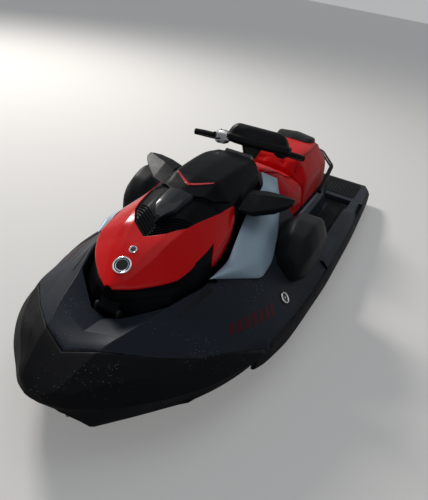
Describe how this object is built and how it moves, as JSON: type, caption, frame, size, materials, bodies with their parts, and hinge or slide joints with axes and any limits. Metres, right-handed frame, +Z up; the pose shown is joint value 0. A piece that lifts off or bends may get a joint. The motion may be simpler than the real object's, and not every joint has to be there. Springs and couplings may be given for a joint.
{
  "type": "personal watercraft",
  "caption": "Three-seat runabout watercraft with faceted bow, hinged hood over a storage bin, turning handlebar, stepped seat and jet pump with steered nozzle and reverse bucket.",
  "frame": {"origin": "on the centreline at the waterline, 1.45 m ahead of the stern", "axes": "+X to the bow, +Y to port, +Z up"},
  "size_m": [3.318, 1.25, 1.14],
  "materials": {
    "hull_black": "glossy black gelcoat",
    "deck_graphite": "dark blue-grey satin moulding",
    "bumper_black": "matt black",
    "rail_black": "matt black rubber",
    "fairing_grey": "light metallic grey-blue",
    "hood_red": "bright red gloss",
    "hood_black": "gloss black",
    "window_smoke": "smoked gloss",
    "accent_red": "red gloss",
    "badge_chrome": "chromed",
    "mirror_black": "satin black",
    "mirror_face": "polished",
    "seat_red": "grained marine vinyl",
    "seat_black": "grained marine vinyl",
    "trim_grey": "satin grey",
    "mat_black": "ribbed foam rubber",
    "console_black": "satin black",
    "gauge_black": "gloss black",
    "bin_black": "matt black",
    "hinge_steel": "brushed",
    "bar_black": "black powder coat",
    "grip_black": "ribbed rubber",
    "pod_silver": "silver paint",
    "pad_black": "satin black",
    "engine_grey": "painted grey",
    "pump_alu": "cast and painted",
    "nozzle_black": "matt black",
    "impeller_steel": "polished",
    "sponson_black": "matt black",
    "eye_steel": "polished"
  },
  "bodies": {
    "craft": {"hull": "hull_black", "deck": "deck_graphite", "front_bumper": "bumper_black", "rub_rail": "rail_black", "audio_pods": "bumper_black", "side_fairings": "fairing_grey", "console": "console_black", "gauge": "gauge_black", "storage_bin": "bin_black", "hood_hinge": "hinge_steel", "seat_front": "seat_red", "seat_rear": "seat_red", "seat_tail": "seat_black", "seat_trim": "trim_grey", "grab_handle": "bar_black", "footwell_mats": "mat_black", "platform_mat": "mat_black", "engine_block": "engine_grey", "pump_housing": "pump_alu", "pump_venturi": "pump_alu", "ride_plate": "pump_alu", "intake_grate": "pump_alu", "sponsons": "sponson_black", "bow_eye": "eye_steel", "stern_eyes": "eye_steel", "tow_eye": "eye_steel", "mooring_rings": "eye_steel"},
    "hood": {"hood_body": "hood_black", "hood_panel": "hood_red", "hood_cap": "hood_black", "hood_vents": "hood_black", "hood_window": "window_smoke", "cap_accent": "accent_red", "badges": "badge_chrome", "mirror_housings": "mirror_black", "mirror_glass": "mirror_face"},
    "steering": {"steering_stem": "bar_black", "handlebar": "bar_black", "grips": "grip_black", "control_pods": "pod_silver", "bar_pad": "pad_black"},
    "nozzle": {"nozzle": "nozzle_black"},
    "bucket": {"reverse_bucket": "nozzle_black"},
    "impeller": {"impeller": "impeller_steel"}
  },
  "joints": [
    {"name": "hood_opening", "type": "hinge", "parent": "craft", "child": "hood", "pos_m": [1.485, 0, 0.4], "axis": [0, 1, 0], "range_deg": [0, 60]},
    {"name": "steering_turn", "type": "hinge", "parent": "craft", "child": "steering", "pos_m": [0.232, 0, 0.635], "axis": [-0.2079, 0, 0.9781], "range_deg": [-50, 0]},
    {"name": "nozzle_turn", "type": "hinge", "parent": "craft", "child": "nozzle", "pos_m": [-1.285, 0, -0.12], "axis": [0, 0, 1], "range_deg": [0, 40]},
    {"name": "bucket_swing", "type": "hinge", "parent": "craft", "child": "bucket", "pos_m": [-1.235, 0, -0.12], "axis": [0, -1, 0], "range_deg": [0, 82]},
    {"name": "impeller_spin", "type": "hinge", "parent": "craft", "child": "impeller", "pos_m": [-1.1, 0, -0.12], "axis": [1, 0, 0], "continuous": true}
  ],
  "couplings": [
    {"joint": "nozzle_turn", "follows": "steering_turn", "ratio": -0.8}
  ]
}
